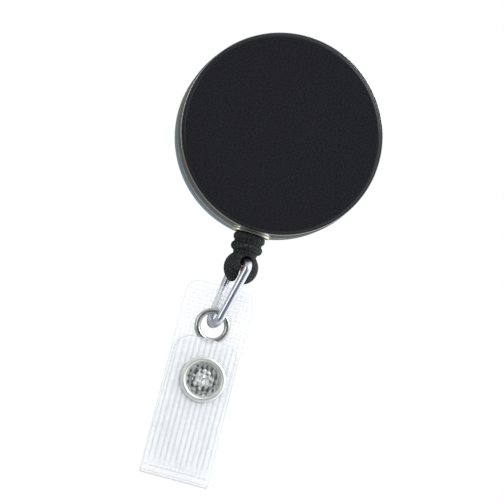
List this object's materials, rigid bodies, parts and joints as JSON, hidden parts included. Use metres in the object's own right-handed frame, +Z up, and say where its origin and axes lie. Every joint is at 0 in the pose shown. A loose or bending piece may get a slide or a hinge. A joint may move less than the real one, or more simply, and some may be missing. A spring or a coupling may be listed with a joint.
{
  "type": "retractable badge reel",
  "caption": "Round black-faced retractable badge reel: sprung cord spool in a chromed case, rubber cord stop, wire link, clear vinyl snap strap, swivel spring clip.",
  "frame": {"origin": "centre of the round front face", "axes": "-Y out of the front face, +Z up with the reel hanging upright and its strap below it, +X to the viewer's right; the spool turns about Y"},
  "size_m": [0.038, 0.0178, 0.0861],
  "materials": {
    "face_black": "black satin enamel with a very fine grain, rounded edge",
    "case_chrome": "bright chrome plate",
    "guide_chrome": "bright chrome plate",
    "stop_rubber": "matt charcoal moulded rubber",
    "cord_nylon": "black braided nylon",
    "crimp_copper": "copper-coloured crimp metal",
    "link_wire": "bright plated steel wire",
    "vinyl": "clear vinyl: a square reinforcing mesh at the back, lengthwise ribs on the flap",
    "nickel": "nickel plate, slightly warm",
    "spring_steel": "polished spring steel",
    "spool_plastic": "natural acetal",
    "arbor_steel": "turned steel",
    "screw_steel": "zinc-plated steel",
    "clip_steel": "nickel-plated pressed steel"
  },
  "bodies": {
    "case": {"face_plate": "face_black", "front_case": "case_chrome", "rear_case": "case_chrome", "cord_guide": "guide_chrome", "spring_arbor": "arbor_steel", "spool_washer": "screw_steel", "spool_screw": "screw_steel", "clip_rivet": "clip_steel", "clip_washer": "screw_steel"},
    "spool": {"spool": "spool_plastic", "spring_cover": "spool_plastic", "power_spring": "spring_steel", "cord_coil": "cord_nylon"},
    "cord_end": {"cord": "cord_nylon"},
    "stopper": {"cord_stop": "stop_rubber", "cord_ferrule": "crimp_copper", "cord_loop": "crimp_copper"},
    "link": {"strap_link": "link_wire"},
    "strap": {"strap_back": "vinyl", "eyelet": "nickel", "eyelet_washer": "nickel", "snap_stud": "nickel", "snap_rear_ring": "nickel"},
    "flap": {"strap_front": "vinyl", "snap_front_ring": "nickel", "snap_socket": "nickel"},
    "clip": {"clip_base": "clip_steel", "clip_pin": "clip_steel", "clip_spring": "spring_steel"},
    "lever": {"clip_lever": "clip_steel"}
  },
  "joints": [
    {"name": "cord_pull", "type": "slide", "parent": "case", "child": "cord_end", "axis": [0, 0, -1], "range_m": [0, 0.86], "stiffness_N_per_m": 1.5, "springref_m": -0.5, "deforming": ["cord"]},
    {"name": "spool_spin", "type": "hinge", "parent": "case", "child": "spool", "pos_m": [0, 0.005, 0], "axis": [0, 1, 0], "range_deg": [-3600, 0], "deforming": ["power_spring"]},
    {"name": "stop_twist", "type": "hinge", "parent": "cord_end", "child": "stopper", "pos_m": [0, 0.005, -0.0245], "axis": [0, 0, 1], "range_deg": [-180, 180]},
    {"name": "link_swing", "type": "hinge", "parent": "stopper", "child": "link", "pos_m": [0, 0.005, -0.02456], "axis": [-0.3338, 0.9426, 0], "range_deg": [-75, 55]},
    {"name": "strap_swing", "type": "hinge", "parent": "link", "child": "strap", "pos_m": [-0.00219, 0.00422, -0.0371], "axis": [0, 1, 0], "range_deg": [-25, 40]},
    {"name": "flap_open", "type": "hinge", "parent": "strap", "child": "flap", "pos_m": [-0.00146, 0.00257, -0.06529], "axis": [0.9997, 0, 0.0262], "range_deg": [0, 170]},
    {"name": "clip_swivel", "type": "hinge", "parent": "case", "child": "clip", "pos_m": [0, 0.0108, 0], "axis": [0, 1, 0], "continuous": true},
    {"name": "clip_lever_rock", "type": "hinge", "parent": "clip", "child": "lever", "pos_m": [0, 0.0137, 0.0045], "axis": [1, 0, 0], "range_deg": [0, 25], "stiffness_Nm_per_rad": 0.03, "springref_deg": -114.59, "deforming": ["clip_spring"]}
  ],
  "couplings": [
    {"joint": "spool_spin", "follows": "cord_pull", "rad_per_m": -72.7}
  ]
}
